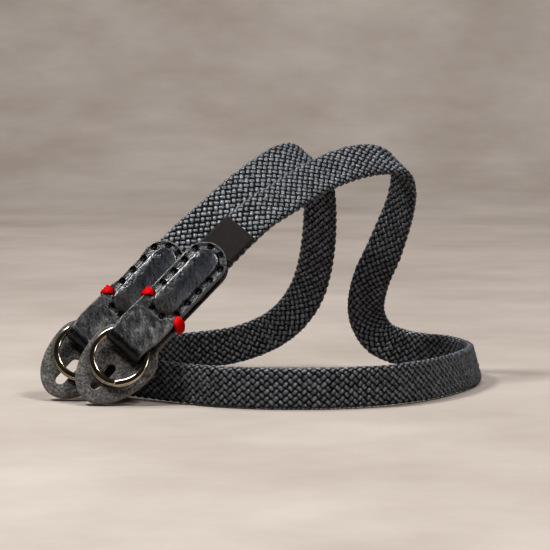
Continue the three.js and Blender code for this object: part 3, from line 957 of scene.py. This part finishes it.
yarn_finish = Finish("charcoal yarn", Specular_IOR_Level=0.75)
fibre_place = yarn_finish.place((2.0, 26.0, 1.0), source="UV")
fibres = yarn_finish.noise(fibre_place, 1.0, 4.0)
tone = yarn_finish.math("ADD", yarn_finish.math("MULTIPLY", yarn_finish.mark("shade"), 0.45),
                        yarn_finish.math("MULTIPLY", fibres, 0.6))
lit = yarn_finish.mix(tone, tint(0.018, 0.019, 0.022), tint(0.235, 0.25, 0.275))
# Painted shade: the floats' sunken sides and ends fade to nearly black with their height.
clear_of_painted_shade = yarn_finish.range(yarn_finish.mark("top"), 0.25, 0.75)
yarn_finish.use("Base Color", yarn_finish.mix(clear_of_painted_shade, tint(0.002, 0.002, 0.003), lit))
yarn_finish.use("Roughness", yarn_finish.range(fibres, 0.3, 0.7, 0.26, 0.42))
yarn_finish.bump(fibres, 0.6, 0.15 * MM)

dress(rope_core, core_finish, "rope", "rope")
for yarn in yarns:
    dress(yarn, yarn_finish, "rope")
print("braid finish:", len(yarn_finish.tree.nodes), "nodes")

# %% [markdown]
# ### Label
#
# The ribbon is a tight, dull weave. Its threads are too fine to model, so a checker on its map gives the
# bump, and a little dust keeps its black from being one flat colour.

# %% Label finish
label_finish = Finish("woven ribbon", Roughness=0.8, Specular_IOR_Level=0.3)
weave_place = label_finish.place((110, 110, 1), source="UV")
weave = label_finish.add("TexChecker", {"Vector": weave_place, "Scale": 1.0}).outputs["Fac"]
dust = label_finish.noise(label_finish.place(), 700)
label_finish.use("Base Color", label_finish.mix(dust, tint(0.012, 0.010, 0.010), tint(0.030, 0.025, 0.025)))
label_finish.bump(weave, 0.4, 0.08 * MM)
dress(label, label_finish, "label", "label")
print("label finish:", len(label_finish.tree.nodes), "nodes")

# %% [markdown]
# ### Leather
#
# Waxed leather is nearly black, but it greys where it is rubbed, goes tan where the wax is thin, and is bare
# at the cut edge. Some of this grey is painted light: a painted sheen on the pad, painted glints among the
# scuffs on the loop and a painted highlight along the edge, while painted shade darkens the underside of the
# fold and the stitch holes. A mask could be painted by hand; the marks that the modelling left, times noise,
# fall on the same places. Creases and streaks go to the bump and the roughness, so that light breaks up on
# them.

# %% Leather finish
leather = Finish("waxed black leather", Specular_IOR_Level=0.6)
STRIP_UV = (2 * TAB_HALF / MM, 2 * (TIP_AT + TAB_HALF) / MM)
STREAK_ANGLE = math.radians(130)
on_strip = leather.place((*STRIP_UV, 1.0), source="UV")
cloud = leather.noise(on_strip, 0.22, 3.0, 0.6)
streak = leather.noise(leather.drawn_out(on_strip, STREAK_ANGLE, 3.0), 0.7, 6.0, 0.7)
speck = leather.noise(on_strip, 2.2, 4.0, 0.7)
grain = leather.add("TexVoronoi", {"Vector": on_strip, "Scale": 1.4}, feature="F1").outputs["Distance"]
plain = leather.mix(leather.range(cloud, 0.3, 0.7), tint(0.003, 0.003, 0.004), tint(0.009, 0.009, 0.010))
# The grey on the pad is rubbed wear and also a painted sheen.
pad_grey_and_painted_sheen = leather.math("MULTIPLY", leather.mark("pillow"), leather.range(streak, 0.36, 0.7, 0.2, 0.9))
padded = leather.mix(pad_grey_and_painted_sheen, plain, tint(0.030, 0.034, 0.042))
tan = leather.math("MULTIPLY", leather.mark("low_pillow"), leather.range(speck, 0.45, 0.62))
tanned = leather.mix(tan, padded, tint(0.075, 0.067, 0.053))
blotch = leather.noise(leather.drawn_out(on_strip, STREAK_ANGLE, 2.2), 0.42, 6.0, 0.68)
# The pale patches on the loop, most on its right side, are scuffs and painted glints.
scuffs_and_painted_glints = leather.math("MULTIPLY", leather.range(blotch, 0.44, 0.68), leather.range(speck, 0.36, 0.6, 0.3, 1.0))
scuffed_with_painted_glints = leather.mix(leather.math("MULTIPLY", scuffs_and_painted_glints, leather.mark("loop")), tanned, tint(0.20, 0.195, 0.188))
# The pale line just inside the edge is edge wear and a painted highlight.
edge_wear_and_painted_highlight = leather.math("MULTIPLY", leather.mark("edge"), leather.range(speck, 0.42, 0.6, 0.05, 0.9))
edged = leather.mix(edge_wear_and_painted_highlight, scuffed_with_painted_glints, tint(0.22, 0.21, 0.20))
# Lighter grey specks along the sewn groove.
groove_specks = leather.math("MULTIPLY", leather.mark("groove"), leather.range(speck, 0.48, 0.64, 0.0, 0.7))
grooved = leather.mix(groove_specks, edged, tint(0.12, 0.115, 0.11))
# Painted shade: the underside of the fold goes nearly black.
shaded = leather.mix(leather.mark("under"), grooved, tint(0.004, 0.003, 0.0025))
lined = leather.mix(leather.mark("inside"), shaded, tint(0.014, 0.009, 0.007))
# Painted shade: the stitch holes go nearly black.
leather.use("Base Color", leather.mix(leather.mark("hole"), lined, tint(0.0005, 0.0005, 0.0005)))
leather.use("Roughness", leather.range(streak, 0.3, 0.7, 0.17, 0.31))
folds = leather.math("MULTIPLY", blotch, leather.range(leather.mark("pillow"), 0.0, 1.0, 1.6, 0.5))
creases = leather.math("ADD", folds, leather.math("MULTIPLY", streak, 0.4))
relief = leather.math("ADD", creases, leather.math("MULTIPLY", grain, 0.2))
leather.bump(relief, 0.7, 0.4 * MM)
for end, tab in tabs.items():
    dress(tab, leather, "tab_leather", end + "_tab")
print("leather finish:", len(leather.tree.nodes), "nodes")

# %% [markdown]
# ### Threads
#
# Both threads are twisted fibre. Plies could be modelled, but at this size a fine noise in colour and bump is
# enough. Wax makes the black thread the shinier one.

# %% Thread finishes
wax = Finish("black waxed thread", Roughness=0.4)
wax_fibre = wax.noise(wax.place(), 1600)
wax_tone = wax.range(wax_fibre, 0.35, 0.65)
wax.use("Base Color", wax.mix(wax_tone, tint(0.02, 0.02, 0.021), tint(0.13, 0.13, 0.135)))
wax.bump(wax_fibre, 0.5, 0.1 * MM)
red = Finish("red thread", Roughness=0.6, Specular_IOR_Level=0.15)
red_fibre = red.noise(red.place(), 2600, 4.0)
red.use("Base Color", red.mix(red_fibre, tint(0.30, 0.001, 0.001), tint(0.85, 0.010, 0.008)))
red.bump(red_fibre, 0.5, 0.1 * MM)
for end in ENDS:
    dress(stitches[end], wax, "tab_leather")
    dress(whippings[end], red, "tab_leather")
print("thread finishes:", len(wax.tree.nodes), "and", len(red.tree.nodes), "nodes")

# %% [markdown]
# ### Rings
#
# The rings are polished nickel with a warm tinge. A mirror would look too clean, so the roughness varies a
# little, like the marks that wiping leaves; all else that shows in them is the floor and the lamps.

# %% Ring finish
nickel = Finish("polished nickel", Metallic=1.0, Base_Color=tint(0.62, 0.54, 0.43))
brushed = nickel.noise(nickel.place(), 260.0, 2.0)
nickel.use("Roughness", nickel.range(brushed, 0.3, 0.7, 0.13, 0.19))
for end, ring in rings.items():
    dress(ring, nickel, "ring_metal", end + "_ring")
print("ring finish:", len(nickel.tree.nodes), "nodes")

# %% [markdown]
# ### Guards
#
# The guards show the leather's flesh side, short dull fibres, with a paler cut edge. Hair could stand for the
# nap, but it is so short that two noises in colour and bump and a little sheen are enough.

# %% Guard finish
nap = Finish("napped leather", Roughness=0.7, Sheen_Weight=0.05, Sheen_Roughness=0.6)
nap_spot = nap.place()
nap_cloud = nap.noise(nap_spot, 260.0, 3.0, 0.6)
nap_fibre = nap.noise(nap_spot, 1100.0, 4.0, 0.75)
nap_patch = nap.range(nap_cloud, 0.3, 0.6, 0.35, 1.0)
nap_tone = nap.math("MULTIPLY", nap_patch, nap.range(nap_fibre, 0.42, 0.6))
nap_face = nap.mix(nap_tone, tint(0.024, 0.023, 0.022), tint(0.17, 0.161, 0.150))
nap_cut = nap.mix(nap_fibre, tint(0.07, 0.06, 0.05), tint(0.30, 0.26, 0.22))
nap.use("Base Color", nap.mix(nap.mark("cut"), nap_face, nap_cut))
nap.bump(nap.math("ADD", nap_cloud, nap.math("MULTIPLY", nap_fibre, 0.5)), 0.8, 0.4 * MM)
for end, guard in guards.items():
    dress(guard, nap, "guard_leather", end + "_guard")
print("guard finish:", len(nap.tree.nodes), "nodes")

# %% [markdown]
# ## Floor and light
#
# A plain pale floor that curves up into a wall shows the strap without a horizon. One big soft light would be
# simplest, but it greys black leather, so smaller lamps stand off to the sides: the key high on the left, the
# top lamp on the right. Two weak ones in front put a glint on the metal and a sheen on the padding, and one
# lights the wall.

# %% Floor, lamps and sky
FLOOR_HALF, WALL_AT, WALL_HEIGHT, COVE = 4.0, 2.4, 3.5, 1.2
bpy.ops.object.select_all(action="DESELECT")
bpy.ops.mesh.primitive_plane_add(size=2 * FLOOR_HALF, location=(0, WALL_AT - FLOOR_HALF, FLOOR))
floor = bpy.context.object
floor.name = "studio_floor"
bpy.ops.object.transform_apply(location=True)
bpy.ops.object.mode_set(mode="EDIT")
bpy.ops.mesh.select_mode(type="EDGE")
bpy.ops.mesh.select_all(action="DESELECT")
bpy.ops.object.mode_set(mode="OBJECT")
for edge in floor.data.edges:
    edge.select = all(floor.data.vertices[corner].co.y > WALL_AT - MM for corner in edge.vertices)
bpy.ops.object.mode_set(mode="EDIT")
bpy.ops.mesh.extrude_region_move(TRANSFORM_OT_translate={"value": (0, 0, WALL_HEIGHT)})
bpy.ops.object.mode_set(mode="OBJECT")
for edge in floor.data.edges:
    ends = [floor.data.vertices[corner].co for corner in edge.vertices]
    edge.select = all(point.y > WALL_AT - MM and point.z < FLOOR + MM for point in ends)
bpy.ops.object.mode_set(mode="EDIT")
bpy.ops.mesh.bevel(offset=COVE, segments=24, affect="EDGES")
bpy.ops.object.mode_set(mode="OBJECT")
bpy.ops.object.shade_smooth()
stone = Finish("pale floor", Roughness=0.8)
stone_cloud = stone.range(stone.noise(stone.place(), 9.0, 6.0, 0.6), 0.3, 0.7)
stone.use("Base Color", stone.mix(stone_cloud, tint(0.31, 0.27, 0.24), tint(0.40, 0.357, 0.325)))
floor.data.materials.append(stone.material)

# Columns: name, place, what it points at, size, watts.
STRAP, BACKDROP = Vector((-0.03, -0.03, -0.03)), Vector((0.0, 2.4, 0.5))
LAMPS = (
    ("key_lamp", (-0.62, -0.24, 0.88), STRAP, 0.22, 9.5),
    ("top_lamp", (0.42, -0.52, 0.84), STRAP, 0.25, 6.0),
    ("glint_lamp", (0.24, -0.95, 0.34), STRAP, 0.14, 1.4),
    ("sheen_lamp", (0.02, -0.82, 0.64), STRAP, 0.10, 0.35),
    ("wall_lamp", (0.0, 0.6, 2.0), BACKDROP, 1.0, 34.0),
)
for name, place, target, size, watts in LAMPS:
    bpy.ops.object.light_add(type="AREA", location=place)
    lamp = bpy.context.object
    lamp.name = name
    lamp.data.size, lamp.data.energy = size, watts
    lamp.rotation_euler = (target - Vector(place)).to_track_quat("-Z", "Y").to_euler()

sky = bpy.data.worlds.new("soft sky")
sky.use_nodes = True
sky.node_tree.nodes["Background"].inputs["Color"].default_value = tint(0.62, 0.58, 0.55)
sky.node_tree.nodes["Background"].inputs["Strength"].default_value = 0.04
scene.world = sky
scene.view_settings.view_transform = "Standard"
scene.view_settings.look = "High Contrast"
print("lamps:", len(LAMPS))
